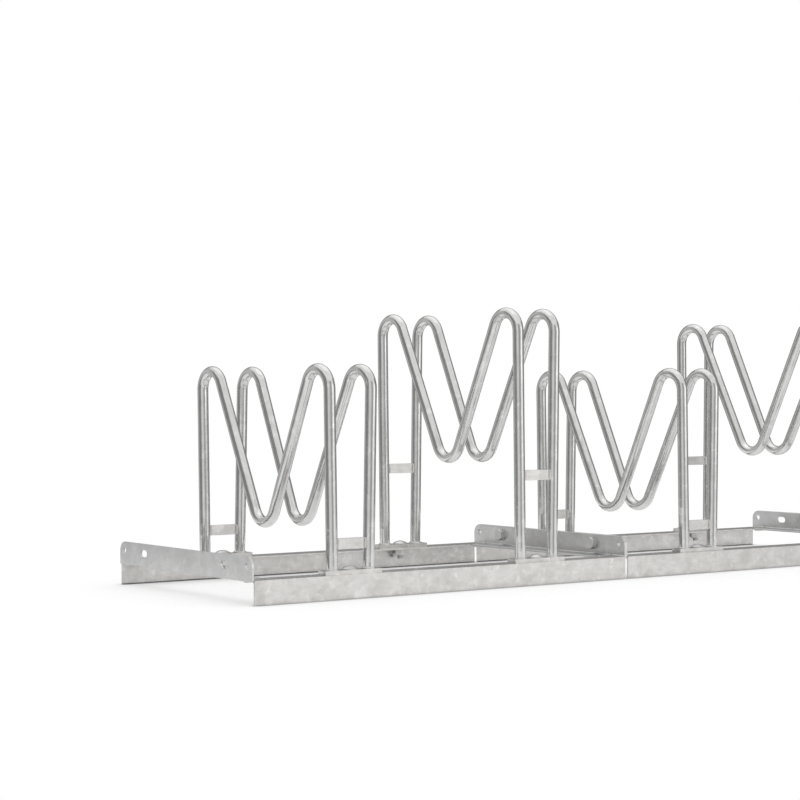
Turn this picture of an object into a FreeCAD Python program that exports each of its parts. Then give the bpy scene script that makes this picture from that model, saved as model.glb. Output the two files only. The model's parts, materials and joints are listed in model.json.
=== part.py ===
"""Modular floor bike rack of hot-dip galvanised steel, in millimetres.

Two equal frames of rolled angle steel stand end to end and are bolted together through
their cross bars. Each frame carries two wheel clamps, a low one and a tall one, so that
the handlebars of neighbouring bicycles pass each other. A clamp is two M-shaped hoops of
round tube that stand a little apart at the top, welded to two foot plates and two spreaders, and
bolted to the rail flanges.

+X runs along the rails, +Y from front to back, +Z is up. The floor is at Z = 0 and the
origin lies on it, below the middle of the rack. SIDES holds -1 for front or left and +1
for back or right.
"""

import FreeCAD, Part
import math
import os

# Layout of the rack
FRAMES = 2
PLACES_PER_FRAME = 2
PLACE_SPACING = 350.0  # from one wheel to the next
DEPTH = 390.0  # over the outer faces of the two rails

# Angle steel of rails and cross bars
ANGLE_LEG = 35.0
ANGLE_WALL = 3.0
ROOT_RADIUS = 2.0  # in the inner corner
TOE_RADIUS = 2.0  # on the inner edge of each leg
CROSS_BAR_CORNER = 15.0  # rounding of the upright leg's top corners
CROSS_BAR_RETREAT = 2.0  # from the outer face of a rail to the end of a cross bar
CROSS_BAR_LAP = 2.5  # from the underside of a cross bar up to the top of the rails

# Slots and holes in the upright legs of the cross bars
SLOT_LENGTH = 20.0  # as wide as a bolt hole
SLOT_INSET = 75.0  # from the end of the bar
FIXING_HOLE = 9.0  # diameter of the small holes near the ends
FIXING_HOLE_INSET = 14.0
FIXING_HOLE_BELOW_TOP = 13.5

# M10 fastening
BOLT = 10.0
HOLE_CLEARANCE = 1.0  # hole diameter less bolt diameter
WASHER_DIAMETER = 20.0
WASHER_THICKNESS = 2.0
WASHER_CLEARANCE = 0.5  # bore of the washer less bolt diameter
HEX_ACROSS_FLATS = 17.0
HEX_CHAMFER = 1.0
HEX_HEAD_HEIGHT = 6.4
NUT_HEIGHT = 8.0
THREAD_CLEARANCE = 0.1  # bore of the nut less bolt diameter
TIP_CHAMFER = 1.0
FOOT_THREAD_PROUD = 6.0  # thread below the nut of a carriage bolt
JOINT_THREAD_PROUD = 7.0  # thread beyond the nut of a joint bolt
MUSHROOM_DIAMETER = 24.6  # domed head of a carriage bolt
MUSHROOM_HEIGHT = 5.4
NECK_RELIEF = 1.0  # foot plate thickness less height of the square neck
NECK_CLEARANCE = 0.4

# Foot plates
WASHER_ROOM = 1.3  # between a washer and the root radius of the rail
PLATE_WIDTH = 20.0
PLATE_THICKNESS = 6.0
PLATE_END = 9.4  # length of plate outside a post
PLATE_CORNER = 1.0

# Hoops, with heights from the top of the foot plates
TUBE = 17.2
TUBE_WALL = 2.0
TYRE_GAP = 46.8  # clear width between the two hoops at their feet
TOP_SPREAD = 5.0  # how much further out the top of each hoop stands than its feet
HOOP_HEIGHT = 297.5  # to the top of the tube of a low hoop
VALLEY_HEIGHT = 51.7  # to the underside of the tube in the valley of a low hoop
TALL_RAISE = 90.5  # a tall hoop is a low one on longer posts
TOP_BEND = 29.5  # radius of the tube's centre line
VALLEY_BEND = 30.0

# Spreaders between the posts
SPREADER_HEIGHT = 37.5  # middle of the spreader of a low clamp above the foot plates
SPREADER_FLAT = 16.0  # height of the flat steel
SPREADER_THICKNESS = 5.0

# Weld beads
FOOT_WELD = 2.5  # leg of the bead round a post
SPREADER_WELD = 2.5
FRAME_WELD = 3.0
FRAME_WELD_STOP = 3.0  # a frame bead ends this far short of its seam's ends
SEAM_WELD_REACH = 1.5  # reach of a seam bead past the rounded toe of the rail

# What follows from these sizes
SIDES = (-1, 1)
FRONT_BACK = {-1: "front", 1: "back"}
LEFT_RIGHT = {-1: "left", 1: "right"}
FRAME_LENGTH = PLACES_PER_FRAME * PLACE_SPACING
RACK_LENGTH = FRAMES * FRAME_LENGTH
RAIL_TOP = ANGLE_LEG
FLANGE_UNDERSIDE = RAIL_TOP - ANGLE_WALL
CROSS_BAR_UNDERSIDE = RAIL_TOP - CROSS_BAR_LAP
CROSS_BAR_TOP = CROSS_BAR_UNDERSIDE + ANGLE_LEG
CROSS_BAR_ROOT = CROSS_BAR_UNDERSIDE + ANGLE_WALL + ROOT_RADIUS
CROSS_BAR_END = DEPTH / 2 - CROSS_BAR_RETREAT
SLOT_HEIGHT = (CROSS_BAR_ROOT + CROSS_BAR_TOP) / 2
PLATE_TOP = RAIL_TOP + PLATE_THICKNESS
BOLT_HOLE = BOLT + HOLE_CLEARANCE
POST_INSET = ANGLE_WALL + ROOT_RADIUS + WASHER_ROOM + WASHER_DIAMETER / 2
POST_Y = DEPTH / 2 - POST_INSET
FOOT_SPACING = TYRE_GAP + TUBE
PLATE_LENGTH = FOOT_SPACING + TUBE + 2 * PLATE_END
SEAM_WELD = TOE_RADIUS + SEAM_WELD_REACH
X_AXIS = FreeCAD.Vector(1, 0, 0)
Y_AXIS = FreeCAD.Vector(0, 1, 0)
Z_AXIS = FreeCAD.Vector(0, 0, 1)
ORIGIN = FreeCAD.Vector(0, 0, 0)


def vector(x, y, z):
    return FreeCAD.Vector(x, y, z)


def moved(shape, x, y, z):
    """A copy of the shape carried by (x, y, z)."""
    copy = shape.copy()
    copy.translate(vector(x, y, z))
    return copy


def mirrored(shape, side, normal):
    """The shape as it is for side -1, or its mirror image across the middle for +1."""
    return shape if side < 0 else shape.mirror(ORIGIN, normal)


def outline(points, place):
    """A face round a closed list of (a, b) corners, which place turns to vectors.

    An entry with four numbers is an arc: its middle point, then its end point.
    """
    edges = []
    start = place(*points[-1][-2:])
    for point in points:
        end = place(*point[-2:])
        if len(point) == 4:
            edges.append(Part.Arc(start, place(*point[:2]), end).toShape())
        else:
            edges.append(Part.LineSegment(start, end).toShape())
        start = end
    return Part.Face(Part.Wire(edges))


def rounded(radius):
    """How far the middle of a quarter arc stands from its square corner, on each axis."""
    return radius * (1 - math.sqrt(0.5))


def angle_section(place):
    """Section of a rolled angle: its square corner at (0, 0), legs along +a and +b."""
    root = ANGLE_WALL + ROOT_RADIUS
    hollow = ANGLE_WALL + rounded(ROOT_RADIUS)
    toe = ANGLE_WALL - TOE_RADIUS
    tip_a = ANGLE_LEG - rounded(TOE_RADIUS)
    tip_b = ANGLE_WALL - rounded(TOE_RADIUS)
    points = [
        (0, ANGLE_LEG),
        (0, 0),
        (ANGLE_LEG, 0),
        (ANGLE_LEG, toe),
        (tip_a, tip_b, ANGLE_LEG - TOE_RADIUS, ANGLE_WALL),
        (root, ANGLE_WALL),
        (hollow, hollow, ANGLE_WALL, root),
        (ANGLE_WALL, ANGLE_LEG - TOE_RADIUS),
        (tip_b, tip_a, toe, ANGLE_LEG),
    ]
    return outline(points, place)


def cylinder(diameter, start, end):
    """Round bar from start to end."""
    axis = end.sub(start)
    return Part.makeCylinder(diameter / 2, axis.Length, start, axis)


def block(low, high):
    """Box between two opposite corners."""
    size = high.sub(low)
    return Part.makeBox(size.x, size.y, size.z, low)


def largest(shape):
    """The largest solid of a shape, which drops slivers that a cut may leave."""
    return max(shape.Solids, key=lambda solid: solid.Volume)


def place_x(place):
    """Middle of a wheel place."""
    return (place + 0.5) * PLACE_SPACING - RACK_LENGTH / 2


def frame_ends(frame):
    """Left and right end of a frame."""
    left = frame * FRAME_LENGTH - RACK_LENGTH / 2
    return left, left + FRAME_LENGTH


def rail(frame, side):
    """Rail between the upright legs of its frame's cross bars, with the foot bolt holes."""
    left, right = frame_ends(frame)
    start = left + ANGLE_WALL

    def place(inward, down):
        return vector(start, inward - DEPTH / 2, RAIL_TOP - down)

    body = angle_section(place).extrude(X_AXIS * (right - ANGLE_WALL - start))
    first = frame * PLACES_PER_FRAME
    for index in range(first, first + PLACES_PER_FRAME):
        hole = vector(place_x(index), -POST_Y, 0)
        body = body.cut(cylinder(BOLT_HOLE, hole, hole + Z_AXIS * PLATE_TOP))
    return mirrored(body, side, Y_AXIS)


def upright_outline(x):
    """Outline of a cross bar's upright leg, with its rounded top corners."""
    edge = CROSS_BAR_END - rounded(CROSS_BAR_CORNER)
    shoulder = CROSS_BAR_TOP - rounded(CROSS_BAR_CORNER)
    points = [
        (-CROSS_BAR_END, CROSS_BAR_UNDERSIDE),
        (-CROSS_BAR_END, CROSS_BAR_TOP - CROSS_BAR_CORNER),
        (-edge, shoulder, CROSS_BAR_CORNER - CROSS_BAR_END, CROSS_BAR_TOP),
        (CROSS_BAR_END - CROSS_BAR_CORNER, CROSS_BAR_TOP),
        (edge, shoulder, CROSS_BAR_END, CROSS_BAR_TOP - CROSS_BAR_CORNER),
        (CROSS_BAR_END, CROSS_BAR_UNDERSIDE),
    ]
    return outline(points, lambda y, z: vector(x, y, z))


def slot_outline(x, y):
    """Outline of the slot for a joint bolt, long from front to back."""
    radius = BOLT_HOLE / 2
    near = y - SLOT_LENGTH / 2
    far = y + SLOT_LENGTH / 2
    low = SLOT_HEIGHT - radius
    high = SLOT_HEIGHT + radius
    points = [
        (far - radius, low),
        (far, SLOT_HEIGHT, far - radius, high),
        (near + radius, high),
        (near, SLOT_HEIGHT, near + radius, low),
    ]
    return outline(points, lambda a, b: vector(x, a, b))


def cross_bar_holes(end, through):
    """What is cut out of a cross bar's upright leg: two slots and two round holes."""
    height = CROSS_BAR_TOP - FIXING_HOLE_BELOW_TOP
    cuts = []
    for side in SIDES:
        hole = vector(end, side * (CROSS_BAR_END - FIXING_HOLE_INSET), height)
        cuts.append(slot_outline(end, side * (CROSS_BAR_END - SLOT_INSET)).extrude(through))
        cuts.append(cylinder(FIXING_HOLE, hole, hole + through))
    return cuts


def cross_bar(frame, side):
    """Cross bar whose upright leg is the frame's end and whose flange fits between the rails."""
    end = frame_ends(frame)[SIDES.index(side)]

    def place(inward, up):
        return vector(end - side * inward, -CROSS_BAR_END, CROSS_BAR_UNDERSIDE + up)

    inward = X_AXIS * -side
    body = angle_section(place).extrude(Y_AXIS * 2 * CROSS_BAR_END)
    body = body.common(upright_outline(end).extrude(inward * ANGLE_LEG))
    near, far = sorted((end - side * ANGLE_WALL, end - side * ANGLE_LEG))
    for rail_side in SIDES:
        low, high = sorted((rail_side * DEPTH / 2, rail_side * (DEPTH / 2 - ANGLE_LEG)))
        cope = block(vector(near, low, CROSS_BAR_UNDERSIDE), vector(far, high, CROSS_BAR_ROOT))
        body = body.cut(cope)
    for cut in cross_bar_holes(end, inward * ANGLE_LEG):
        body = body.cut(cut)
    return body


def hoop_path(height, valley):
    """Centre line of a hoop in the YZ plane, from its front foot to its back foot.

    The slopes are the inner tangents of the top bends and of the valley bend.
    """
    top_y = TOP_BEND - POST_Y
    top_z = height - TUBE / 2 - TOP_BEND
    valley_z = valley + TUBE / 2 + VALLEY_BEND
    reach = math.hypot(top_y, valley_z - top_z)
    slope = math.atan2(valley_z - top_z, -top_y) - math.asin((TOP_BEND + VALLEY_BEND) / reach)
    normal = (-math.sin(slope), math.cos(slope))
    crown = (slope + math.pi / 2 + math.pi) / 2  # direction of the middle of the top bend
    leave = (top_y + TOP_BEND * normal[0], top_z + TOP_BEND * normal[1])
    arrive = (-VALLEY_BEND * normal[0], valley_z - VALLEY_BEND * normal[1])
    over = (top_y + TOP_BEND * math.cos(crown), top_z + TOP_BEND * math.sin(crown))
    foot = (-POST_Y, -TUBE)
    shoulder = (-POST_Y, top_z)

    def at(point, side=-1):
        return vector(0, -side * point[0], point[1])

    front = [
        Part.LineSegment(at(foot), at(shoulder)),
        Part.Arc(at(shoulder), at(over), at(leave)),
        Part.LineSegment(at(leave), at(arrive)),
    ]
    bottom = Part.Arc(at(arrive), vector(0, 0, valley_z - VALLEY_BEND), at(arrive, 1))
    back = [
        Part.LineSegment(at(arrive, 1), at(leave, 1)),
        Part.Arc(at(leave, 1), at(over, 1), at(shoulder, 1)),
        Part.LineSegment(at(shoulder, 1), at(foot, 1)),
    ]
    return Part.Wire([curve.toShape() for curve in front + [bottom] + back])


def swept(path, diameter):
    """Round section carried along a hoop's path."""
    start = path.OrderedVertexes[0].Point
    circle = Part.Wire(Part.makeCircle(diameter / 2, start, Z_AXIS))
    return path.makePipeShell([circle], True, False)


def raised(tall):
    return TALL_RAISE if tall else 0.0


def lean(tall):
    """Angle in radians by which each hoop of a clamp leans outward."""
    return math.atan2(TOP_SPREAD, HOOP_HEIGHT + raised(tall))


def leaning(shape, side, tall):
    """Leans what is upright over a hoop's foot outward and sets it on the foot plate."""
    shape.rotate(ORIGIN, Y_AXIS, side * math.degrees(lean(tall)))
    return moved(shape, side * FOOT_SPACING / 2, 0, PLATE_TOP)


def above_plate(shape):
    """Cuts off what lies below the top of the foot plates."""
    reach = RACK_LENGTH + DEPTH
    below = block(vector(-reach, -reach, -reach), vector(reach, reach, PLATE_TOP))
    return largest(shape.cut(below))


def hoop_body(side, tall, diameter):
    """Solid round bar along a hoop, standing on the foot plates of a clamp at x = 0."""
    path = hoop_path(HOOP_HEIGHT + raised(tall), VALLEY_HEIGHT + raised(tall))
    return above_plate(leaning(swept(path, diameter), side, tall))


def foot_plate(side):
    """Foot plate of a clamp at x = 0, with the square hole for the bolt's neck."""
    length = PLATE_LENGTH / 2
    width = PLATE_WIDTH / 2
    corner_a = length - rounded(PLATE_CORNER)
    corner_b = width - rounded(PLATE_CORNER)
    straight_a = length - PLATE_CORNER
    straight_b = width - PLATE_CORNER
    points = [
        (straight_a, -width),
        (corner_a, -corner_b, length, -straight_b),
        (length, straight_b),
        (corner_a, corner_b, straight_a, width),
        (-straight_a, width),
        (-corner_a, corner_b, -length, straight_b),
        (-length, -straight_b),
        (-corner_a, -corner_b, -straight_a, -width),
    ]
    middle = side * POST_Y
    body = outline(points, lambda x, y: vector(x, y + middle, RAIL_TOP)).extrude(Z_AXIS * PLATE_THICKNESS)
    half = (BOLT + NECK_CLEARANCE) / 2
    hole = block(vector(-half, middle - half, RAIL_TOP), vector(half, middle + half, PLATE_TOP))
    return body.cut(hole)


def spreader(side, tall, posts):
    """Flat between the two posts, with its ends shaped to the tubes."""
    reach = FOOT_SPACING / 2 + math.tan(lean(tall)) * (SPREADER_HEIGHT + raised(tall))
    middle = PLATE_TOP + SPREADER_HEIGHT + raised(tall)
    low = vector(-reach, side * POST_Y - SPREADER_THICKNESS / 2, middle - SPREADER_FLAT / 2)
    high = vector(reach, side * POST_Y + SPREADER_THICKNESS / 2, middle + SPREADER_FLAT / 2)
    body = block(low, high)
    for post in posts:
        body = body.cut(post)
    return largest(body)


def spreader_welds(side, tall, posts, flat):
    """Upright beads in the corners between a spreader and its posts, on both faces."""
    middle = PLATE_TOP + SPREADER_HEIGHT + raised(tall)
    slant = math.tan(lean(tall))
    axis = FOOT_SPACING / 2 + slant * (middle - PLATE_TOP)
    corner = axis - math.sqrt((TUBE / 2) ** 2 - (SPREADER_THICKNESS / 2) ** 2)
    beads = []
    for post_side, post in zip(SIDES, posts):
        for face in SIDES:
            y = side * POST_Y + face * SPREADER_THICKNESS / 2
            tilt = post_side * slant * SPREADER_FLAT / 2
            low = vector(post_side * corner - tilt, y, middle - SPREADER_FLAT / 2)
            high = vector(post_side * corner + tilt, y, middle + SPREADER_FLAT / 2)
            beads.append(largest(cylinder(2 * SPREADER_WELD, low, high).cut(post).cut(flat)))
    return beads


def foot_weld(post_side, side, tall):
    """Bead with a rounded face all round the foot of a post."""
    inner = TUBE / 2
    outer = inner + FOOT_WELD
    bulge = inner + FOOT_WELD * math.sqrt(0.5)
    points = [
        (inner, -FOOT_WELD),
        (outer, -FOOT_WELD),
        (outer, 0),
        (bulge, FOOT_WELD * math.sqrt(0.5), inner, FOOT_WELD),
    ]
    section = outline(points, lambda radius, z: vector(radius, 0, z))
    ring = moved(section.revolve(ORIGIN, Z_AXIS, 360), 0, side * POST_Y, 0)
    return above_plate(leaning(ring, post_side, tall))


def hexagon(height):
    """Hexagonal prism round the Z axis from 0 to height, with both ends chamfered."""
    corner = HEX_ACROSS_FLATS / math.sqrt(3)
    corners = []
    for step in range(6):
        angle = math.radians(60 * step)
        corners.append((corner * math.cos(angle), corner * math.sin(angle)))
    prism = outline(corners, lambda x, y: vector(x, y, 0)).extrude(Z_AXIS * height)
    drop = HEX_CHAMFER / 2
    section = [
        (0, 0),
        (corner - HEX_CHAMFER, 0),
        (corner, drop),
        (corner, height - drop),
        (corner - HEX_CHAMFER, height),
        (0, height),
    ]
    turned = outline(section, lambda radius, z: vector(radius, 0, z)).revolve(ORIGIN, Z_AXIS, 360)
    return prism.common(turned)


def shank(length):
    """Threaded shank from the origin down, with a chamfered tip."""
    radius = BOLT / 2
    section = [
        (0, 0),
        (radius, 0),
        (radius, TIP_CHAMFER - length),
        (radius - TIP_CHAMFER, -length),
        (0, -length),
    ]
    return outline(section, lambda r, z: vector(r, 0, z)).revolve(ORIGIN, Z_AXIS, 360)


def carriage_bolt():
    """Bolt with a domed head from z = 0 up, a square neck and a round shank below."""
    radius = MUSHROOM_DIAMETER / 2
    sphere = (radius**2 + MUSHROOM_HEIGHT**2) / (2 * MUSHROOM_HEIGHT)
    half_angle = math.asin(radius / sphere) / 2
    over = (
        sphere * math.sin(half_angle),
        MUSHROOM_HEIGHT - sphere * (1 - math.cos(half_angle)),
    )
    points = [(0, 0), (radius, 0), (*over, 0, MUSHROOM_HEIGHT)]
    head = outline(points, lambda r, z: vector(r, 0, z)).revolve(ORIGIN, Z_AXIS, 360)
    half = BOLT / 2
    neck = block(vector(-half, -half, NECK_RELIEF - PLATE_THICKNESS), vector(half, half, 0))
    length = PLATE_THICKNESS + ANGLE_WALL + WASHER_THICKNESS + NUT_HEIGHT + FOOT_THREAD_PROUD
    return head.fuse([neck, shank(length)]).removeSplitter()


def joint_bolt():
    """Hex bolt: head from z = 0 up, shank down through two washers, two walls and a nut."""
    length = 2 * WASHER_THICKNESS + 2 * ANGLE_WALL + NUT_HEIGHT + JOINT_THREAD_PROUD
    return hexagon(HEX_HEAD_HEIGHT).fuse(shank(length)).removeSplitter()


def washer():
    """Washer from z = 0 up."""
    disc = cylinder(WASHER_DIAMETER, ORIGIN, Z_AXIS * WASHER_THICKNESS)
    return disc.cut(cylinder(BOLT + WASHER_CLEARANCE, ORIGIN, Z_AXIS * WASHER_THICKNESS))


def nut():
    """Hex nut from z = 0 up."""
    return hexagon(NUT_HEIGHT).cut(cylinder(BOLT + THREAD_CLEARANCE, ORIGIN, Z_AXIS * NUT_HEIGHT))


def foot_fasteners(x, side):
    """Carriage bolt, washer and nut of one foot plate."""
    y = side * POST_Y
    under_washer = FLANGE_UNDERSIDE - WASHER_THICKNESS
    return {
        "foot_bolts": moved(carriage_bolt(), x, y, PLATE_TOP),
        "foot_washers": moved(washer(), x, y, under_washer),
        "foot_nuts": moved(nut(), x, y, under_washer - NUT_HEIGHT),
    }


def joint_fasteners(x, side):
    """Hex bolt, two washers and nut through the two cross bars that meet at x."""
    y = side * (CROSS_BAR_END - SLOT_INSET)

    def across(shape, offset):
        shape.rotate(ORIGIN, Y_AXIS, 90)
        return moved(shape, x + offset, y, SLOT_HEIGHT)

    face = ANGLE_WALL + WASHER_THICKNESS
    bolt = joint_bolt()
    bolt.rotate(ORIGIN, X_AXIS, 180)
    return {
        "joint_bolts": [across(bolt, -face)],
        "joint_washers": [across(washer(), -face), across(washer(), ANGLE_WALL)],
        "joint_nuts": [across(nut(), face)],
    }


def frame_welds(frame, rails, bars):
    """At each corner: a fillet on the rail against the cross bar, and a seam under the flanges."""
    beads = []
    length = ANGLE_LEG - 2 * FRAME_WELD_STOP
    for side, end, bar in zip(SIDES, frame_ends(frame), bars):
        wall = end - side * ANGLE_WALL
        for rail_side, joined in zip(SIDES, rails):
            edge = rail_side * (DEPTH / 2 - ANGLE_LEG)
            start = min(edge, rail_side * DEPTH / 2) + FRAME_WELD_STOP
            beads.append(corner_bead(wall, -side, start, length))
            seam = seam_bar(wall, -side, edge, length - ANGLE_WALL)
            beads.append(largest(seam.cut(joined).cut(bar)))
    return beads


def corner_bead(x, inward, y, length):
    """Bead on the rail flange along the inner face of a cross bar's upright leg."""
    middle = FRAME_WELD * math.sqrt(0.5)
    points = [(0, 0), (FRAME_WELD, 0), (middle, middle, 0, FRAME_WELD)]
    section = outline(points, lambda a, b: vector(x + inward * a, y, RAIL_TOP + b))
    return section.extrude(Y_AXIS * length)


def seam_bar(x, inward, y, length):
    """Round bar along the seam between a rail's flange and a cross bar's flange."""
    start = vector(x + inward * FRAME_WELD_STOP, y, FLANGE_UNDERSIDE)
    return cylinder(2 * SEAM_WELD, start, start + X_AXIS * (inward * length))


def clamp(place):
    """The pieces of one wheel clamp, by node name."""
    tall = place % 2 == 1
    x = place_x(place)
    number = place + 1
    bars = [hoop_body(side, tall, TUBE) for side in SIDES]
    nodes = {}
    for side, bar in zip(SIDES, bars):
        bore = hoop_body(side, tall, TUBE - 2 * TUBE_WALL)
        nodes[f"hoop_{number}_{LEFT_RIGHT[side]}"] = [moved(bar.cut(bore), x, 0, 0)]
    for side in SIDES:
        flat = spreader(side, tall, bars)
        beads = spreader_welds(side, tall, bars, flat)
        rings = [foot_weld(post_side, side, tall) for post_side in SIDES]
        nodes[f"foot_plate_{number}_{FRONT_BACK[side]}"] = [moved(foot_plate(side), x, 0, 0)]
        nodes[f"spreader_{number}_{FRONT_BACK[side]}"] = [moved(flat, x, 0, 0)]
        nodes.setdefault("spreader_welds", []).extend(moved(bead, x, 0, 0) for bead in beads)
        nodes.setdefault("foot_welds", []).extend(moved(ring, x, 0, 0) for ring in rings)
        for name, solid in foot_fasteners(x, side).items():
            nodes.setdefault(name, []).append(solid)
    return nodes


def frame_nodes(frame):
    """The pieces of one frame, by node name."""
    number = frame + 1
    rails = [rail(frame, side) for side in SIDES]
    bars = [cross_bar(frame, side) for side in SIDES]
    nodes = {f"frame_welds_{number}": frame_welds(frame, rails, bars)}
    for side, joined, bar in zip(SIDES, rails, bars):
        nodes[f"rail_{number}_{FRONT_BACK[side]}"] = [joined]
        nodes[f"cross_bar_{number}_{LEFT_RIGHT[side]}"] = [bar]
    return nodes


def rack():
    """Every node of the rack: its name and its solids."""
    groups = [frame_nodes(frame) for frame in range(FRAMES)]
    groups += [clamp(place) for place in range(FRAMES * PLACES_PER_FRAME)]
    for frame in range(1, FRAMES):
        groups += [joint_fasteners(frame_ends(frame)[0], side) for side in SIDES]
    nodes = {}
    for group in groups:
        for name, solids in group.items():
            nodes.setdefault(name, []).extend(solids)
    return nodes


def main():
    os.makedirs("parts", exist_ok=True)
    for name, solids in rack().items():
        shape = solids[0] if len(solids) == 1 else Part.makeCompound(solids)
        shape.exportStep(f"parts/{name}.step")


main()
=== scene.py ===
"""Looks of a modular floor bike rack of hot-dip galvanised steel, on a white studio floor.

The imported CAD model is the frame. Rails, cross bars, foot plates and spreaders keep its
solids with their edges eased. Hoops, bolts, nuts, washers and weld beads are surfaces
worked out here on grids, because a tube needs a smooth bend, a bolt its thread and a bead
its ripples. All lengths are in metres.
"""

import json
import math

import bmesh
import bpy
import numpy as np
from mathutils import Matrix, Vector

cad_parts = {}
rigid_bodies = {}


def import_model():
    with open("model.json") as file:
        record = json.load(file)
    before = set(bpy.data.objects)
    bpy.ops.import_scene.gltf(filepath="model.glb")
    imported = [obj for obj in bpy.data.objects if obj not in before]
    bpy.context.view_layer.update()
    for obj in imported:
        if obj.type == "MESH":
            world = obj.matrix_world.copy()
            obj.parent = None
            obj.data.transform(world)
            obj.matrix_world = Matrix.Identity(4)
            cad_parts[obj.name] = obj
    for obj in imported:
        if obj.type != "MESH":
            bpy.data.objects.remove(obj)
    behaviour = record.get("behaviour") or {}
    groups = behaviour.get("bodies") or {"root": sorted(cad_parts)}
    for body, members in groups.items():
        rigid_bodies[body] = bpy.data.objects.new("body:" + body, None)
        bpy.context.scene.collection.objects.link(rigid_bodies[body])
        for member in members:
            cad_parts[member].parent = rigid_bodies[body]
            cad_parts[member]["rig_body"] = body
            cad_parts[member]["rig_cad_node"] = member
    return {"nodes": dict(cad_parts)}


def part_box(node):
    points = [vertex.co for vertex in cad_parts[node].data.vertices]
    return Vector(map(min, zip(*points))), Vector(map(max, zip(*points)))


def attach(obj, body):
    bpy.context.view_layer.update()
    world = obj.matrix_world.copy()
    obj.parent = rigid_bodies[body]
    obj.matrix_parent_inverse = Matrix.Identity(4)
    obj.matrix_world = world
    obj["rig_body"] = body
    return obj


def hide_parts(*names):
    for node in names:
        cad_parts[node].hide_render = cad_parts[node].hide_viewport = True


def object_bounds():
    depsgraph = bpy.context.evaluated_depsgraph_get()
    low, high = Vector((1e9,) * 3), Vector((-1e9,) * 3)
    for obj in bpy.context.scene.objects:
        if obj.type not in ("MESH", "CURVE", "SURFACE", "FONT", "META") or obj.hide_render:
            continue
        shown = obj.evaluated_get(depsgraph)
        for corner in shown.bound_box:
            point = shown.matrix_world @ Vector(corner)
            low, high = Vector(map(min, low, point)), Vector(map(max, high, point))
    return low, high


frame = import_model()
cad_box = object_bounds()

MM = 0.001
SIDES = {"left": -1, "right": 1}
ENDS = {"front": -1, "back": 1}
CLAMPS = (1, 2, 3, 4)
FRAMES = (1, 2)

# Hoops of round tube
TUBE = 17.2 * MM
FOOT_SPACING = 64 * MM  # between the two posts of a clamp, at their feet
TOP_SPREAD = 5 * MM  # how much further out the top of a hoop stands than its feet
DIP = 245.8 * MM  # from the top of a hoop down to the underside of its valley
TOP_BEND = 29.5 * MM  # radius of the centre line
VALLEY_BEND = 30 * MM
OVALITY = 0.035  # a bent tube is thinner by this in the plane of its bend
OVAL_SWELL = 1 / 3  # and wider across that plane by this share of it
AROUND_TUBE = 40
BEND_STEP = math.radians(5)
STRAIGHT_STEP = 12 * MM

# Angle steel and its edges
ANGLE_WALL = 3 * MM
EASE = 0.45 * MM  # rounding of sheared and rolled edges under the zinc
SMOOTH_ANGLE = math.radians(32)  # a sharper edge than this is eased and shaded as an edge
FLAT_ANGLE = math.radians(0.5)  # triangles that differ by less than this lie in one face
MERGE = 1e-6  # points nearer than this are one point

# M10 bolts, nuts and washers
BOLT = 10 * MM
PITCH = 1.5 * MM
THREAD_DEPTH = 0.75 * MM
CREST = 0.7  # a power below 1 makes the thread's crest narrow and its root wide
HEX = 17 * MM  # across flats
HEX_CROWN = 0.96  # diameter of the flat end of a head or nut, as a share of its width
HEX_CHAMFER = math.radians(30)
DOME = 24.6 * MM
DOME_HEIGHT = 5.4 * MM
DOME_RIM = 0.9 * MM
DOME_RINGS = 14
WASHER_BORE = 10.5 * MM
WASHER_EDGE = 0.3 * MM

# Weld beads
RIPPLE = 2.3 * MM  # from one ripple to the next
RIPPLE_HEIGHT = 0.22 * MM
ROWS_PER_RIPPLE = 6
FOOT_BEAD = 2.5 * MM
SPREADER_BEAD = 2.4 * MM
CORNER_BEAD = 2.9 * MM
SEAM_BEAD = 3.4 * MM
BEAD_ROOT = 0.4 * MM  # a bead starts this far inside the tube
BEAD_BACK = 0.15  # its back lies this share of its size further in
BEAD_BOW = 0.12  # each ripple runs ahead at the root by this share of its length
BEAD_BLUNT = 6  # the higher this power, the blunter the ends of a straight bead
BEAD_START = 3 * MM  # a bead at a frame's corner keeps this far from the ends of the steel
BEAD_END = 29 * MM  # the one below the flange stops this far from the end of the rail


# ---------------------------------------------------------------- meshes

def quads(rows, columns, wrap_rows=False, wrap_columns=False):
    """Faces between neighbouring points of a grid, as rows of four indices."""
    row = np.arange(rows if wrap_rows else rows - 1)
    column = np.arange(columns if wrap_columns else columns - 1)
    r, c = (side.ravel() for side in np.meshgrid(row, column, indexing="ij"))
    below, beside = (r + 1) % rows, (c + 1) % columns
    corners = (r * columns + c, below * columns + c, below * columns + beside, r * columns + beside)
    return np.stack(corners, axis=1)


def shell(grid, wrap_rows=False, wrap_columns=True):
    """A grid of points as (points, faces). Open ends of a wrapped grid get a flat cap."""
    rows, columns = grid.shape[:2]
    faces = quads(rows, columns, wrap_rows, wrap_columns).tolist()
    if wrap_columns and not wrap_rows:
        last = (rows - 1) * columns
        faces += [list(range(columns)), list(range(last, last + columns))]
    return grid.reshape(-1, 3), faces


def piece(name, shells, material, replaced):
    """One object from several shells, closed, faced outwards and smooth between sharp edges."""
    points, faces, start = [], [], 0
    for corners, polygons in shells:
        points.append(corners)
        faces += [[start + corner for corner in polygon] for polygon in polygons]
        start += len(corners)
    mesh = bpy.data.meshes.new(name)
    mesh.from_pydata(np.concatenate(points), [], faces)
    made = bpy.data.objects.new(name, mesh)
    bpy.context.collection.objects.link(made)
    tidied(mesh)
    return dressed(made, material, replaced)


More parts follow.
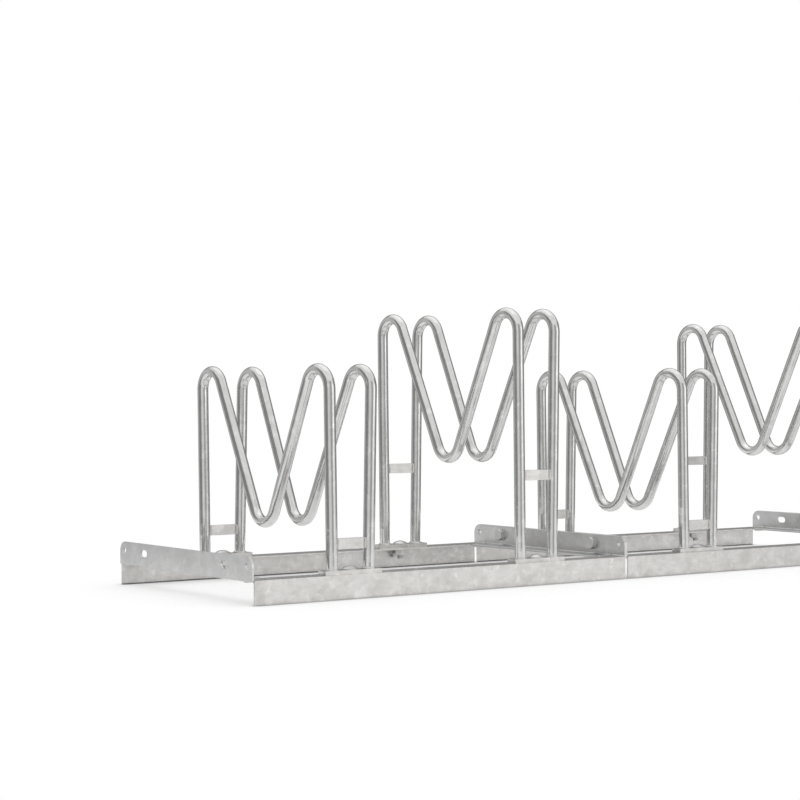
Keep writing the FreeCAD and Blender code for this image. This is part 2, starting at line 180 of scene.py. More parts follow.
def tidied(mesh):
    """Merges doubled points, so that faces without area go, and turns all normals outwards."""
    work = bmesh.new()
    work.from_mesh(mesh)
    bmesh.ops.remove_doubles(work, verts=work.verts, dist=MERGE)
    bmesh.ops.recalc_face_normals(work, faces=work.faces)
    work.to_mesh(mesh)
    work.free()


def dressed(made, material, replaced):
    """Gives a piece its finish and its place in the frame."""
    made.data.materials.clear()
    made.data.materials.append(material)
    made.data.shade_smooth()
    made.data.set_sharp_from_angle(angle=SMOOTH_ANGLE)
    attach(made, "root")
    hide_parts(replaced)
    return made


def eased(node, material):
    """A copy of a CAD solid with its edges rounded as under a coat of zinc.

    Its triangles are joined to whole faces first. Faces of more than four corners, which
    may have holes, are then split again, so that rounding keeps their outline.
    """
    made = frame["nodes"][node].copy()
    made.data = made.data.copy()
    made.name = made.data.name = f"{node}_steel"
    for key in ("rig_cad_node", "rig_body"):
        if key in made:
            del made[key]
    made.parent = None
    made.hide_render = made.hide_viewport = False
    bpy.context.collection.objects.link(made)
    work = bmesh.new()
    work.from_mesh(made.data)
    bmesh.ops.remove_doubles(work, verts=work.verts, dist=MERGE)
    bmesh.ops.dissolve_limit(work, angle_limit=FLAT_ANGLE, verts=work.verts, edges=work.edges)
    bmesh.ops.triangulate(work, faces=[face for face in work.faces if len(face.verts) > 4])
    work.to_mesh(made.data)
    work.free()
    rounding = made.modifiers.new("eased_edges", "BEVEL")
    rounding.width = EASE
    rounding.segments = 2
    rounding.limit_method = "ANGLE"
    rounding.angle_limit = SMOOTH_ANGLE
    evened = made.modifiers.new("even_normals", "WEIGHTED_NORMAL")
    evened.keep_sharp = True
    return dressed(made, material, node)


# ---------------------------------------------------------------- hoops

def hoop_line(post_y, top, valley):
    """Centre line of half a hoop, from the front foot to the middle of the valley.

    Returns y, z, the direction of travel and how strongly the tube is bent, as arrays.
    The post and the slope are straight. The top bend turns about a point beside the post,
    and the slope is the inner tangent of the top bend and the valley bend. The bend is
    strongest, 1, in the middle of an arc and falls off by a parabola to 0 at its ends.
    """
    top_y, top_z = TOP_BEND - post_y, top - TUBE / 2 - TOP_BEND
    valley_z = valley + TUBE / 2 + VALLEY_BEND
    reach = math.hypot(top_y, valley_z - top_z)
    turn = math.asin((TOP_BEND + VALLEY_BEND) / reach)
    slope = math.atan2(valley_z - top_z, -top_y) - turn
    post = np.arange(0, top_z, STRAIGHT_STEP)
    top_arc = np.arange(math.pi, slope + math.pi / 2, -BEND_STEP)
    run = math.sqrt(reach**2 - (TOP_BEND + VALLEY_BEND) ** 2)
    along = np.arange(0, run, STRAIGHT_STEP)
    leave = np.array([top_y, top_z]) + TOP_BEND * np.array([-math.sin(slope), math.cos(slope)])
    valley_arc = np.append(np.arange(slope - math.pi / 2, -math.pi / 2, BEND_STEP), -math.pi / 2)
    y = np.concatenate([
        np.full_like(post, -post_y),
        top_y + TOP_BEND * np.cos(top_arc),
        leave[0] + along * math.cos(slope),
        VALLEY_BEND * np.cos(valley_arc),
    ])
    z = np.concatenate([
        post,
        top_z + TOP_BEND * np.sin(top_arc),
        leave[1] + along * math.sin(slope),
        valley_z + VALLEY_BEND * np.sin(valley_arc),
    ])
    travel = np.concatenate([
        np.full_like(post, math.pi / 2),
        top_arc - math.pi / 2,
        np.full_like(along, slope),
        valley_arc + math.pi / 2,
    ])
    top_end = slope + math.pi / 2
    middle = (math.pi + top_end) / 2
    half = (math.pi - top_end) / 2
    bent = np.concatenate([
        np.zeros_like(post),
        1 - ((top_arc - middle) / half) ** 2,
        np.zeros_like(along),
        1 - ((valley_arc + math.pi / 2) / slope) ** 2,
    ])
    return y, z, travel, np.clip(bent, 0, 1)


def hoop(number, side_name, material):
    """Round tube along the hoop's line, leaning outward, with its length and girth as UV.

    A point is the centre line plus a circle in the plane square to it. In a bend the
    circle is a little flatter in the plane of the bend.
    """
    node = f"hoop_{number}_{side_name}"
    side = SIDES[side_name]
    place, post_y, plate_top = plate_centre(number, "back")
    lean = clamp_lean(number)
    top = (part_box(node)[1].z - plate_top) / math.cos(lean)
    y, z, travel, bent = hoop_line(post_y, top, top - DIP)
    y = np.concatenate([y, -y[-2::-1]])
    z = np.concatenate([z, z[-2::-1]])
    travel = np.concatenate([travel, -travel[-2::-1]])
    bent = np.concatenate([bent, bent[-2::-1]])
    around = np.linspace(0, 2 * math.pi, AROUND_TUBE, endpoint=False)
    radius = TUBE / 2
    inward = radius * np.outer(1 - OVALITY * bent, np.cos(around))
    across = radius * np.outer(1 + OVALITY * OVAL_SWELL * bent, np.sin(around))
    grid = np.empty(inward.shape + (3,))
    grid[..., 0] = across
    grid[..., 1] = y[:, None] - np.sin(travel)[:, None] * inward
    grid[..., 2] = z[:, None] + np.cos(travel)[:, None] * inward
    grid = leaning(grid, side * lean, (place + side * FOOT_SPACING / 2, 0, plate_top))
    grid[[0, -1], :, 2] = plate_top
    made = piece(f"{node}_tube", [shell(grid)], material, node)
    along = np.concatenate([[0], np.cumsum(np.hypot(np.diff(y), np.diff(z)))])
    wrap_uv(made.data, along, AROUND_TUBE, radius)


def clamp_lean(number):
    """Angle by which the hoops of a clamp lean outward: all tops stand equally far out."""
    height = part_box(f"hoop_{number}_left")[1].z - plate_centre(number, "front")[2]
    return math.atan2(TOP_SPREAD, height)


def leaning(grid, lean, foot):
    """Turns a grid about the Y axis through its origin, then carries the origin to a foot."""
    leant = grid.copy()
    leant[..., 0] = grid[..., 0] * math.cos(lean) + grid[..., 2] * math.sin(lean)
    leant[..., 2] = grid[..., 2] * math.cos(lean) - grid[..., 0] * math.sin(lean)
    return leant + np.array(foot)


def wrap_uv(mesh, along, columns, radius):
    """UV in metres: u along the tube, v round it, with the seam closed on its last column."""
    corners = np.empty(len(mesh.loops), int)
    mesh.loops.foreach_get("vertex_index", corners)
    u = along[corners // columns]
    v = corners % columns
    count = np.empty(len(mesh.polygons), int)
    mesh.polygons.foreach_get("loop_total", count)
    owner = np.repeat(np.arange(len(mesh.polygons)), count)
    seam = np.zeros(len(mesh.polygons), bool)
    np.logical_or.at(seam, owner, v == columns - 1)
    v = np.where(seam[owner] & (v == 0), columns, v)
    uv = np.stack([u, v * 2 * math.pi * radius / columns], axis=1)
    layer = mesh.uv_layers.new(name="along_tube")
    layer.data.foreach_set("uv", uv.astype(np.float32).ravel())


# ---------------------------------------------------------------- bolts, nuts and washers

def turned(radius, height, columns=48):
    """Surface of revolution about Z: each (radius, height) of the profile swept once round."""
    around = np.linspace(0, 2 * math.pi, columns, endpoint=False)
    grid = np.empty((len(radius), columns, 3))
    grid[..., 0] = np.outer(radius, np.cos(around))
    grid[..., 1] = np.outer(radius, np.sin(around))
    grid[..., 2] = np.asarray(height)[:, None]
    return grid


def thread(length, columns=32, rows_per_pitch=8):
    """Shank down from z = 0: its radius falls by a cosine of the height less the turn.

    The thread runs up to the head and ends in a chamfered tip.
    """
    z = np.linspace(0, length, round(length / PITCH * rows_per_pitch))
    around = np.linspace(0, 2 * math.pi, columns, endpoint=False)
    phase = z[:, None] / PITCH * 2 * math.pi - around
    radius = BOLT / 2 - THREAD_DEPTH * (0.5 - 0.5 * np.cos(phase)) ** CREST
    chamfer = BOLT / 2 - np.clip(PITCH / 2 + z - length, 0, None)
    radius = np.minimum(radius, chamfer[:, None])
    grid = np.empty(radius.shape + (3,))
    grid[..., 0] = radius * np.cos(around)
    grid[..., 1] = radius * np.sin(around)
    grid[..., 2] = -z[:, None]
    return grid


def hexagon(height, chamfers, bore=0.0, columns=72):
    """Hexagonal head or nut from z = 0 up.

    The rim is a hexagon in polar form, half the width over the cosine of the angle from the
    nearest flat. A cone cuts its corners: the rim drops by a share of how far it stands out.
    """
    around = np.linspace(0, 2 * math.pi, columns, endpoint=False)
    from_flat = around % (math.pi / 3) - math.pi / 6
    rim = HEX / 2 / np.cos(from_flat)
    crown = HEX_CROWN * HEX / 2
    drop = (rim - crown) * math.tan(HEX_CHAMFER)
    flat = np.zeros(columns)
    low, high = (drop if end in chamfers else flat for end in ("low", "high"))
    flat_low, flat_high = (
        flat + crown if end in chamfers else rim - EASE for end in ("low", "high")
    )
    ring = flat + bore / 2
    lower = low + EASE / 2
    upper = height - high - EASE / 2
    radius = np.stack([ring, flat_low, rim, rim, flat_high, ring])
    z = np.stack([flat, flat, lower, upper, flat + height, flat + height])
    return np.stack([radius * np.cos(around), radius * np.sin(around), z], axis=-1)


def washer(thickness, outer):
    """Flat ring from z = 0 up: a rectangle with two eased corners swept round."""
    rim = outer - WASHER_EDGE
    radius = np.array([WASHER_BORE / 2, rim, outer, outer, rim, WASHER_BORE / 2])
    height = np.array([0, 0, WASHER_EDGE, thickness - WASHER_EDGE, thickness, thickness])
    return turned(radius, height)


def dome():
    """Head of a carriage bolt from z = 0 up: a short rim, then a cap of a sphere."""
    radius = DOME / 2
    rise = DOME_HEIGHT - DOME_RIM
    sphere = (radius**2 + rise**2) / (2 * rise)
    angle = np.linspace(math.asin(radius / sphere), 0, DOME_RINGS)
    cap = DOME_RIM + rise - sphere * (1 - np.cos(angle))
    rim = np.array([0, radius - EASE, radius])
    return turned(
        np.concatenate([rim, sphere * np.sin(angle)]),
        np.concatenate([[0, 0, EASE], cap]),
    )


def placed(grid, centre, along="z", wrap=False):
    """The grid as a shell, its Z turned to the given axis and its origin at the centre.

    With wrap, the last row joins the first, as on a ring or a nut, whose profile is closed.
    """
    if along in ("x", "-x"):
        sign = 1 if along == "x" else -1
        grid = grid[..., [2, 1, 0]] * np.array([sign, 1, -sign])
    return shell(grid + np.array(centre), wrap_rows=wrap)


def foot_fasteners(material):
    """Carriage bolts through the foot plates, and the washers and nuts below the flanges."""
    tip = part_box("foot_bolts")[0].z
    nut_low, nut_high = (corner.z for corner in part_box("foot_nuts"))
    washer_low, washer_high = (corner.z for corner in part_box("foot_washers"))
    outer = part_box("foot_washers")[1].x - plate_centre(CLAMPS[-1], "back")[0]
    nut = hexagon(nut_high - nut_low, ("low",), BOLT)
    disc = washer(washer_high - washer_low, outer)
    bolts, nuts, washers = [], [], []
    for number in CLAMPS:
        for end in ENDS:
            x, y, plate_top = plate_centre(number, end)
            bolts.append(placed(dome(), (x, y, plate_top)))
            bolts.append(placed(thread(plate_top - tip), (x, y, plate_top)))
            nuts.append(placed(nut, (x, y, nut_low), wrap=True))
            washers.append(placed(disc, (x, y, washer_low), wrap=True))
    piece("carriage_bolts", bolts, material, "foot_bolts")
    piece("nuts_below_flanges", nuts, material, "foot_nuts")
    piece("washers_below_flanges", washers, material, "foot_washers")


def plate_centre(number, end):
    """Middle of a foot plate's top."""
    low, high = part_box(f"foot_plate_{number}_{end}")
    return (low.x + high.x) / 2, (low.y + high.y) / 2, high.z


def joint_fasteners(material):
    """Hex bolts, washers and nuts through the two cross bars in the middle of the rack."""
    bolt_low, bolt_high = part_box("joint_bolts")
    nut_low, nut_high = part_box("joint_nuts")
    washer_low, washer_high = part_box("joint_washers")
    height = (washer_low.z + washer_high.z) / 2
    outer = (washer_high.z - washer_low.z) / 2
    thickness = nut_low.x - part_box("cross_bar_2_left")[0].x - ANGLE_WALL
    face = washer_low.x
    head = hexagon(face - bolt_low.x, ("high",))
    nut = hexagon(nut_high.x - nut_low.x, ("low", "high"), BOLT)
    disc = washer(thickness, outer)
    bolts, nuts, washers = [], [], []
    for side in ENDS.values():
        y = side * (washer_high.y - outer)
        bolts.append(placed(head, (face, y, height), "-x"))
        bolts.append(placed(thread(bolt_high.x - face), (face, y, height), "-x"))
        nuts.append(placed(nut, (nut_low.x, y, height), "x", wrap=True))
        for x in (washer_low.x, washer_high.x - thickness):
            washers.append(placed(disc, (x, y, height), "x", wrap=True))
    piece("hex_bolts", bolts, material, "joint_bolts")
    piece("nuts_at_joint", nuts, material, "joint_nuts")
    piece("washers_at_joint", washers, material, "joint_washers")


# ---------------------------------------------------------------- weld beads

def rippled(length):
    """Height of the ripples along a bead: a row of parabolas, one for each ripple."""
    share = (length / RIPPLE) % 1
    return RIPPLE_HEIGHT * (1 - (2 * share - 1) ** 2)


def ring_bead(number, end, side, columns=120, rows=9):
    """Bead round the foot of a post: a quarter circle of section carried round the tube.

    Two more points of the section, inside the wall of the tube, close it. The size of the
    section swells in ripples with the angle round the tube.
    """
    place, y, plate_top = plate_centre(number, end)
    around = np.linspace(0, 2 * math.pi, columns, endpoint=False)
    quarter = np.linspace(0, math.pi / 2, rows)
    out = np.append(np.cos(quarter), [-BEAD_BACK, -BEAD_BACK])[:, None]
    up = np.append(np.sin(quarter), [1, 0])[:, None]
    ripples = round(2 * math.pi * (TUBE / 2 + FOOT_BEAD / 2) / RIPPLE)
    travelled = (around * ripples / (2 * math.pi) + BEAD_BOW * out) * RIPPLE
    size = FOOT_BEAD - RIPPLE_HEIGHT + rippled(travelled)
    radius = TUBE / 2 - BEAD_ROOT + size * out
    grid = np.empty(radius.shape + (3,))
    grid[..., 0] = radius * np.cos(around)
    grid[..., 1] = y + radius * np.sin(around)
    grid[..., 2] = size * up
    foot = (place + side * FOOT_SPACING / 2, 0, plate_top)
    return shell(leaning(grid, side * clamp_lean(number), foot), wrap_rows=True)


def straight_bead(start, finish, radius, columns=20):
    """Bead along a line: a circle whose radius closes at both ends and swells in ripples.

    The radius closes by the root of one less a high power of the distance from the middle.
    """
    start, finish = np.array(start, float), np.array(finish, float)
    run = np.linalg.norm(finish - start)
    rows = max(8, round(run / RIPPLE * ROWS_PER_RIPPLE))
    share = (1 - np.cos(np.linspace(0, math.pi, rows))) / 2
    across = np.array([1, 0, 0]) if abs(finish[0] - start[0]) < run / 2 else np.array([0, 1, 0])
    along = (finish - start) / run
    other = np.cross(along, across)
    around = np.linspace(0, 2 * math.pi, columns, endpoint=False)
    closing = np.sqrt(np.clip(1 - np.abs(2 * share - 1) ** BEAD_BLUNT, 0, 1))
    size = closing * (radius - RIPPLE_HEIGHT + rippled(share * run))
    circle = np.outer(np.cos(around), across) + np.outer(np.sin(around), other)
    grid = start + share[:, None, None] * (finish - start) + size[:, None, None] * circle
    return shell(grid)


def foot_welds(material):
    """Ring beads round all posts, on their foot plates."""
    beads = []
    for number in CLAMPS:
        for end in ENDS:
            beads += [ring_bead(number, end, side) for side in SIDES.values()]
    piece("beads_round_posts", beads, material, "foot_welds")


def spreader_welds(material):
    """Upright beads where the flats between the posts meet the tubes, on both faces."""
    beads = []
    for number in CLAMPS:
        place, _, plate_top = plate_centre(number, "front")
        slant = math.tan(clamp_lean(number))
        for end in ENDS:
            low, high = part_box(f"spreader_{number}_{end}")
            for side in SIDES.values():
                for y in (low.y, high.y):
                    depth = (high.y - low.y) / 2
                    inset = FOOT_SPACING / 2 - math.sqrt((TUBE / 2) ** 2 - depth**2)
                    lower = place + side * (inset + slant * (low.z - plate_top))
                    upper = place + side * (inset + slant * (high.z - plate_top))
                    beads.append(straight_bead((lower, y, low.z), (upper, y, high.z), SPREADER_BEAD))
    piece("beads_at_spreaders", beads, material, "spreader_welds")


def frame_welds(material):
    """Beads at the corners of each frame, above and below the rails."""
    for number in FRAMES:
        beads = []
        for bar_side, side in SIDES.items():
            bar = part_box(f"cross_bar_{number}_{bar_side}")
            for end, direction in ENDS.items():
                rail_low, rail_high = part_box(f"rail_{number}_{end}")
                wall = rail_low.x if side < 0 else rail_high.x
                edge = rail_high.y if direction < 0 else rail_low.y
                top, under = rail_high.z, bar[0].z
                start, finish = rail_low.y + BEAD_START, rail_high.y - BEAD_START
                beads.append(straight_bead((wall, start, top), (wall, finish, top), CORNER_BEAD))
                near, far = wall - side * BEAD_START, wall - side * BEAD_END
                beads.append(straight_bead((near, edge, under), (far, edge, under), SEAM_BEAD))
        piece(f"beads_of_frame_{number}", beads, material, f"frame_welds_{number}")


# ---------------------------------------------------------------- materials

# Patterns in the zinc, in sizes on the steel
WAVE = 9 * MM  # the outlines of crystals and patches waver with this pattern
WAVE_REACH = 6 * MM  # and by up to about this much
PATCH = 32 * MM
FLECK = 13 * MM
GRAIN = 0.9 * MM  # a real zinc surface is finer, but that would not show
TUBE_RUN = (1.6 * MM, (22, 1, 1))  # width of a drained run, and its stretch along the tube
ANGLE_RUN = (7 * MM, (2.5, 1, 1))  # on angles and flats the stretch is along the rails
SKIN_RELIEF = 0.1 * MM
CRYSTAL_TILT = 0.03
MIDDLE = (0.5, 0.5, 0.5)  # of a noise or of a crystal's random colour
TONE_RANGE = {"From Min": 0.3, "From Max": 0.7}  # in which most of the mixed pattern lies


def linear(code):
    """A colour written as sRGB hex, turned to linear with alpha."""
    values = [int(code[i : i + 2], 16) / 255 for i in (1, 3, 5)]
    return [v / 12.92 if v <= 0.04045 else ((v + 0.055) / 1.055) ** 2.4 for v in values] + [1]


def add(tree, kind, inputs=None, **settings):
    """Adds a node, sets its properties, and fills or links its inputs."""
    made = tree.nodes.new(kind)
    for name, value in settings.items():
        setattr(made, name, value)
    for name, value in (inputs or {}).items():
        socket = made.inputs[name]
        if isinstance(value, bpy.types.NodeSocket):
            tree.links.new(value, socket)
        else:
            socket.default_value = value
    return made


def blank(name):
    """An empty material and its node tree."""
    material = bpy.data.materials.new(name)
    material.use_nodes = True
    material.node_tree.nodes.clear()
    return material, material.node_tree


def zinc(name, light, dark, rough, spangle, along_tube=False):
    """Hot-dip galvanised steel: zinc crystals that differ a little in tone and tilt.

    The crystals show as soft patches with a few bright flecks. Long faint runs follow the
    way the zinc drained, and a fine grain breaks up the reflection. Darker patches are also
    the rougher ones. The spangle is the size of one crystal, and rough gives the roughness
    of the lightest and of the darkest zinc.
    """
    material, tree = blank(name)
    place = add(tree, "ShaderNodeTexCoord").outputs["Object"]
    wave = add(tree, "ShaderNodeTexNoise", {"Vector": place, "Scale": 1 / WAVE, "Detail": 2})
    shift = {0: wave.outputs["Color"], 1: MIDDLE}
    shift = add(tree, "ShaderNodeVectorMath", shift, operation="SUBTRACT")
    shift = {0: shift.outputs[0], "Scale": WAVE_REACH}
    shift = add(tree, "ShaderNodeVectorMath", shift, operation="SCALE")
    wavy = add(tree, "ShaderNodeVectorMath", {0: place, 1: shift.outputs[0]}, operation="ADD")
    wavy = wavy.outputs[0]
    crystals = add(tree, "ShaderNodeTexVoronoi", {"Vector": wavy, "Scale": 1 / spangle})
    crystal = add(tree, "ShaderNodeSeparateColor", {0: crystals.outputs["Color"]})
    patches = {"Vector": wavy, "Scale": 1 / PATCH, "Detail": 4, "Roughness": 0.62}
    patches = add(tree, "ShaderNodeTexNoise", patches)
    runs = drained_runs(tree, place, along_tube)
    grain = add(tree, "ShaderNodeTexNoise", {"Vector": place, "Scale": 1 / GRAIN, "Detail": 2})
    tone = mixed(tree, [
        (crystal.outputs[0], 0.12),
        (patches.outputs["Fac"], 0.7),
        (runs, 0.8 if along_tube else 0.4),
        (grain.outputs["Fac"], 0.1),
    ])
    even = add(tree, "ShaderNodeMapRange", {"Value": tone, **TONE_RANGE})
    bright = {0: even.outputs[0], 1: flecks(tree, wavy)}
    bright = add(tree, "ShaderNodeMath", bright, operation="ADD", use_clamp=True)
    colour = {"Factor": bright.outputs[0], "A": linear(dark), "B": linear(light)}
    colour = add(tree, "ShaderNodeMix", colour, data_type="RGBA")
    matt = {"Value": tone, **TONE_RANGE, "To Min": rough[1], "To Max": rough[0]}
    matt = add(tree, "ShaderNodeMapRange", matt)
    relief = mixed(tree, [(grain.outputs["Fac"], 0.35), (wave.outputs["Fac"], 0.3), (runs, 0.5)])
    facet = tilted(tree, crystals)
    skin = {"Height": relief, "Strength": 0.2, "Distance": SKIN_RELIEF, "Normal": facet}
    skin = add(tree, "ShaderNodeBump", skin)
    shader = add(tree, "ShaderNodeBsdfPrincipled", {
        "Base Color": colour.outputs["Result"],
        "Metallic": 1.0,
        "Roughness": matt.outputs[0],
        "Normal": skin.outputs[0],
    })
    add(tree, "ShaderNodeOutputMaterial", {"Surface": shader.outputs[0]})
    return material


def drained_runs(tree, place, along_tube):
    """A noise stretched along the steel. On a tube it follows the tube's own UV."""
    if along_tube:
        place = add(tree, "ShaderNodeUVMap", uv_map="along_tube").outputs["UV"]
    width, stretch = TUBE_RUN if along_tube else ANGLE_RUN
    scale = [1 / (width * times) for times in stretch]
    drawn = add(tree, "ShaderNodeMapping", {"Vector": place, "Scale": scale})
    runs = {"Vector": drawn.outputs[0], "Scale": 1.0, "Detail": 3}
    return add(tree, "ShaderNodeTexNoise", runs).outputs["Fac"]


def flecks(tree, place):
    """The few peaks of a coarse noise, as extra brightness."""
    noise = {"Vector": place, "Scale": 1 / FLECK, "Detail": 2, "Distortion": 0.5}
    noise = add(tree, "ShaderNodeTexNoise", noise)
    peaks = {"Value": noise.outputs["Fac"], "From Min": 0.57, "From Max": 0.74, "To Max": 0.5}
    return add(tree, "ShaderNodeMapRange", peaks, interpolation_type="SMOOTHSTEP").outputs[0]


def tilted(tree, crystals):
    """The surface's normal, tilted a little in a direction of its own on each crystal."""
    tilt = {0: crystals.outputs["Color"], 1: MIDDLE}
    tilt = add(tree, "ShaderNodeVectorMath", tilt, operation="SUBTRACT")
    tilt = {0: tilt.outputs[0], "Scale": CRYSTAL_TILT}
    tilt = add(tree, "ShaderNodeVectorMath", tilt, operation="SCALE")
    normal = add(tree, "ShaderNodeNewGeometry").outputs["Normal"]
    facet = add(tree, "ShaderNodeVectorMath", {0: normal, 1: tilt.outputs[0]}, operation="ADD")
    return add(tree, "ShaderNodeVectorMath", {0: facet.outputs[0]}, operation="NORMALIZE").outputs[0]


def mixed(tree, parts):
    """Weighted mean of several values: each value times its share, all added up."""
    total = sum(weight for _, weight in parts)
    mean = 0.0
    for value, weight in parts:
        step = {0: value, 1: weight / total, 2: mean}
        mean = add(tree, "ShaderNodeMath", step, operation="MULTIPLY_ADD").outputs[0]
    return mean


# ---------------------------------------------------------------- studio

CAMERA_PLACE = (-2.1005, -2.4563, 0.2851)
CAMERA_YAW = math.radians(36.152)  # from +Y towards +X; the camera looks level
FOCAL_PIXELS = 1920.1  # for a picture 800 pixels wide
PICTURE_WIDTH = 800
SENSOR = 36.0
CLIP_START = 0.05
FLOOR_RADIUS = 2.0
FLOOR_COLOUR = (0.8, 0.8, 0.8)
FLOOR_LIFT = 0.38  # what the floor adds to the room's light on it, up to white, where seen
CONTACT_SHADOW = 14 * MM  # reach of the painted contact shadow: the floor darkened round the steel's lower edges
CONTACT_DEPTH = 1.5  # the higher this power, the darker the floor is there
FLOOR_SHADOW = (0.15, 0.9)  # between these distances from the rack the floor thins to nothing
ROOM_LIGHT = (0.75, 0.75, 0.75, 1)
WHITE = (1, 1, 1, 1)
# Soft boxes: degrees right of the camera's side, elevation, distance, width, radiance
OVERHEAD = (200, 78, 3.4, 3.0, 0.3)
RIGHT_PANEL = (64, 14, 3.6, 1.5, 0.5)
FLAG_RADIUS = 5.0
FLAG_LOW = -2.0
FLAG_HIGH = 3.6
# Tone of the flags by direction, in degrees right of the camera's side seen from the rack.
# The first two are the ends of the round; the others are in order.
FLAG_TONES = (
    (-180, 0.24),
    (180, 0.24),
    (-145, 0.34),
    (-118, 0.66),
    (-104, 0.60),
    (-90, 0.30),
    (-44, 0.30),
    (-32, 0.85),
    (-4, 0.88),
    (14, 0.46),
    (34, 0.46),
    (48, 1.05),
    (78, 1.05),
    (96, 0.36),
    (145, 0.26),
)


def camera():
    """Camera low in front of the left end, at the photograph's viewing angle."""
    lens = bpy.data.cameras.new("camera")
    lens.sensor_width = SENSOR
    lens.lens = FOCAL_PIXELS * SENSOR / PICTURE_WIDTH
    lens.clip_start = CLIP_START
    made = bpy.data.objects.new("camera", lens)
    made.location = CAMERA_PLACE
    made.rotation_euler = (math.pi / 2, 0, -CAMERA_YAW)
    bpy.context.collection.objects.link(made)
    bpy.context.scene.camera = made


def panel(name, direction, elevation, distance, width, radiance):
    """Square soft box that faces the rack. Direction is degrees right of the camera's side."""
    lamp = bpy.data.lights.new(name, "AREA")
    lamp.shape = "SQUARE"
    lamp.size = width
    lamp.energy = radiance * math.pi * width**2
    made = bpy.data.objects.new(name, lamp)
    bearing = CAMERA_YAW + math.pi - math.radians(direction)
    rise = math.radians(elevation)
    made.location = (
        distance * math.sin(bearing) * math.cos(rise),
        distance * math.cos(bearing) * math.cos(rise),
        distance * math.sin(rise),
    )
    made.rotation_euler = (math.pi / 2 - rise, 0, math.pi - bearing)
    bpy.context.collection.objects.link(made)


def seen(tree):
    """1 for rays from the camera, and for those that a gloss or a glass sends on."""
    path = add(tree, "ShaderNodeLightPath").outputs
    either = {0: path["Is Camera Ray"], 1: path["Is Glossy Ray"]}
    either = add(tree, "ShaderNodeMath", either, operation="MAXIMUM")
    either = {0: either.outputs[0], 1: path["Is Transmission Ray"]}
    return add(tree, "ShaderNodeMath", either, operation="MAXIMUM").outputs[0]


def staged(name, points, faces, material):
    """A part of the studio, which is no part of the rack."""
    mesh = bpy.data.meshes.new(name)
    mesh.from_pydata(points, [], faces)
    mesh.materials.append(material)
    made = bpy.data.objects.new(name, mesh)
    bpy.context.collection.objects.link(made)
    return made


def ring(radius, height, columns=96):
    """Points of a circle round the rack at a height."""
    around = np.linspace(0, 2 * math.pi, columns, endpoint=False)
    return np.stack([radius * np.sin(around), radius * np.cos(around), np.full(columns, height)], axis=1)


def floor():
    """White floor that takes the rack's shadow and thins out into the white of the room.

    The distance from the rack is that from the rectangle on which it stands. Close to the
    steel the floor's colour and glow are darkened by ambient occlusion: a painted contact
    shadow.
    """
    material, tree = blank("white_studio_floor")
    low, high = cad_box
    spot = add(tree, "ShaderNodeTexCoord").outputs["Object"]
    across = add(tree, "ShaderNodeVectorMath", {0: spot}, operation="ABSOLUTE")
    beyond = {0: across.outputs[0], 1: (high[0], high[1], 0)}
    beyond = add(tree, "ShaderNodeVectorMath", beyond, operation="SUBTRACT")
    beyond = {0: beyond.outputs[0], 1: (0, 0, 0)}
    beyond = add(tree, "ShaderNodeVectorMath", beyond, operation="MAXIMUM")
    away = add(tree, "ShaderNodeVectorMath", {0: beyond.outputs[0]}, operation="LENGTH")
    near, far = FLOOR_SHADOW
    thin = {"Value": away.outputs["Value"], "From Min": near, "From Max": far}
    thin = add(tree, "ShaderNodeMapRange", thin, interpolation_type="SMOOTHSTEP")
    # painted contact shadow: ambient occlusion darkens the floor's colour and glow near the steel
    contact = add(tree, "ShaderNodeAmbientOcclusion", {"Distance": CONTACT_SHADOW})
    contact = {0: contact.outputs["AO"], 1: CONTACT_DEPTH}
    contact = add(tree, "ShaderNodeMath", contact, operation="POWER").outputs[0]
    strength = {0: seen(tree), 1: FLOOR_LIFT}
    strength = add(tree, "ShaderNodeMath", strength, operation="MULTIPLY")
    glow = {"Color": contact, "Strength": strength.outputs[0]}
    glow = add(tree, "ShaderNodeEmission", glow)
    matt = add(tree, "ShaderNodeVectorMath", {0: contact, 1: FLOOR_COLOUR}, operation="MULTIPLY")
    matt = add(tree, "ShaderNodeBsdfDiffuse", {"Color": matt.outputs[0]})
    solid = add(tree, "ShaderNodeAddShader", {0: matt.outputs[0], 1: glow.outputs[0]})
    clear = add(tree, "ShaderNodeBsdfTransparent")
    both = {0: thin.outputs[0], 1: solid.outputs[0], 2: clear.outputs[0]}
    both = add(tree, "ShaderNodeMixShader", both)
    add(tree, "ShaderNodeOutputMaterial", {"Surface": both.outputs[0]})
    edge = ring(FLOOR_RADIUS, 0)[::-1]
    staged("floor", edge, [list(range(len(edge)))], material)


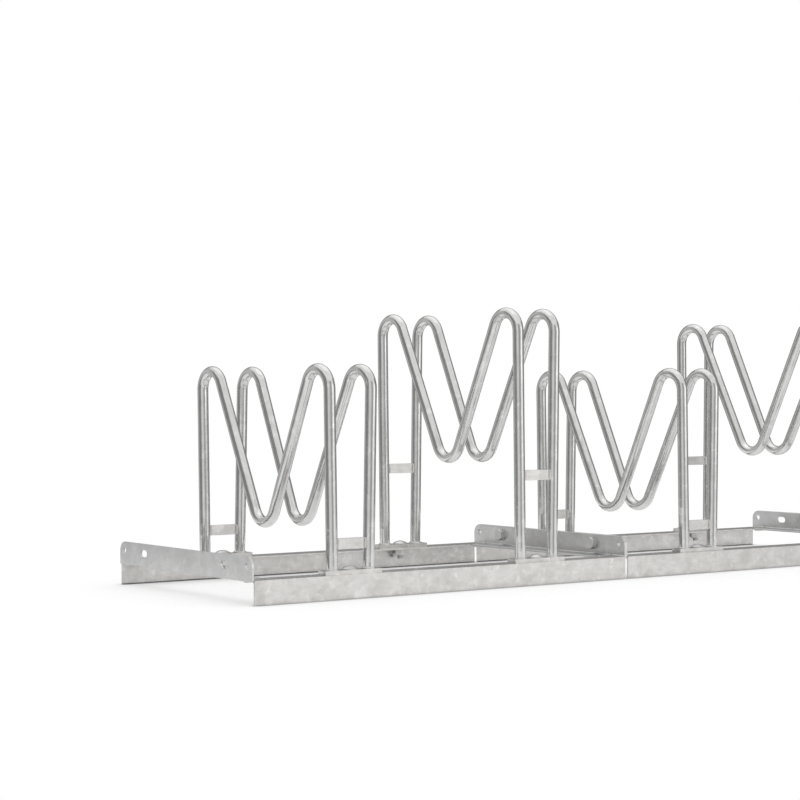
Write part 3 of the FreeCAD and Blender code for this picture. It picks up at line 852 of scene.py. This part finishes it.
def flags():
    """Grey flags all round the set, which bright metal mirrors as darker and lighter bands.

    Their tone depends on the direction: the angle about Z, turned so that a ramp over one
    full round starts opposite the camera. Only glossy rays see them.
    """
    material, tree = blank("grey_studio_flags")
    spot = add(tree, "ShaderNodeTexCoord").outputs["Object"]
    side = add(tree, "ShaderNodeSeparateXYZ", {0: spot}).outputs
    bearing = add(tree, "ShaderNodeMath", {0: side["X"], 1: side["Y"]}, operation="ARCTAN2")
    share = {0: bearing.outputs[0], 1: -1 / (2 * math.pi), 2: 1 + CAMERA_YAW / (2 * math.pi)}
    share = add(tree, "ShaderNodeMath", share, operation="MULTIPLY_ADD")
    share = add(tree, "ShaderNodeMath", {0: share.outputs[0]}, operation="FRACT")
    tones = add(tree, "ShaderNodeValToRGB", {"Fac": share.outputs[0]})
    stops = tones.color_ramp.elements
    for index, (direction, tone) in enumerate(FLAG_TONES):
        place = direction / 360 + 0.5
        stop = stops[index] if index < 2 else stops.new(place)
        stop.position = place
        stop.color = (tone, tone, tone, 1)
    glow = add(tree, "ShaderNodeEmission", {"Color": tones.outputs["Color"], "Strength": 1.0})
    add(tree, "ShaderNodeOutputMaterial", {"Surface": glow.outputs[0]})
    low, high = ring(FLAG_RADIUS, FLAG_LOW), ring(FLAG_RADIUS, FLAG_HIGH)
    wall = quads(2, len(low), wrap_columns=True).tolist()
    made = staged("flags", np.concatenate([low, high]), wall, material)
    made.visible_camera = made.visible_diffuse = made.visible_shadow = False
    made.visible_transmission = made.visible_volume_scatter = False


def world():
    """White where it is seen, a soft grey room for the light on the floor."""
    made = bpy.data.worlds.new("studio")
    made.use_nodes = True
    tree = made.node_tree
    tree.nodes.clear()
    room = add(tree, "ShaderNodeBackground", {"Color": ROOM_LIGHT})
    white = add(tree, "ShaderNodeBackground", {"Color": WHITE})
    both = {0: seen(tree), 1: room.outputs[0], 2: white.outputs[0]}
    both = add(tree, "ShaderNodeMixShader", both)
    add(tree, "ShaderNodeOutputWorld", {"Surface": both.outputs[0]})
    bpy.context.scene.world = made


def studio():
    """Camera, surroundings and lamps, with colours shown as they are."""
    camera()
    world()
    floor()
    flags()
    panel("overhead", *OVERHEAD)
    panel("right_panel", *RIGHT_PANEL)
    bpy.context.scene.view_settings.view_transform = "Standard"


# ---------------------------------------------------------------- rack

def rack():
    """All pieces with their finishes. All are hot-dip galvanised after welding or forming."""
    # Rolled angle and flat steel: satin, faintly warm, with soft light patches and flecks
    rolled = zinc("galvanised_rolled_steel", "#E0DEDC", "#BEBCB9", (0.24, 0.36), 14 * MM)
    # The same steel on the cross bars, duller: a more even and neutral grey
    dull = zinc("galvanised_rolled_steel_dull", "#D6D6D6", "#C2C2C1", (0.25, 0.36), 16 * MM)
    # Precision tube: the smoothest steel, so it mirrors the room in bright and dark bands
    tube = zinc("galvanised_tube", "#E0E0DF", "#C2C2C1", (0.09, 0.17), 9 * MM, along_tube=True)
    # Forged bolts, nuts and stamped washers: small crystals, dull edges
    forged = zinc("galvanised_bolts", "#D8D8D7", "#C3C3C2", (0.28, 0.4), 4 * MM)
    # Weld beads: the roughest skin, so they stay pale and soft
    bead = zinc("galvanised_weld_beads", "#DAD9D6", "#C4C3C0", (0.3, 0.42), 5 * MM)
    for number in FRAMES:
        for end in ENDS:
            eased(f"rail_{number}_{end}", rolled)
        for side in SIDES:
            eased(f"cross_bar_{number}_{side}", dull)
    for number in CLAMPS:
        for side in SIDES:
            hoop(number, side, tube)
        for end in ENDS:
            eased(f"foot_plate_{number}_{end}", rolled)
            eased(f"spreader_{number}_{end}", rolled)
    foot_fasteners(forged)
    joint_fasteners(forged)
    foot_welds(bead)
    spreader_welds(bead)
    frame_welds(bead)


rack()
studio()
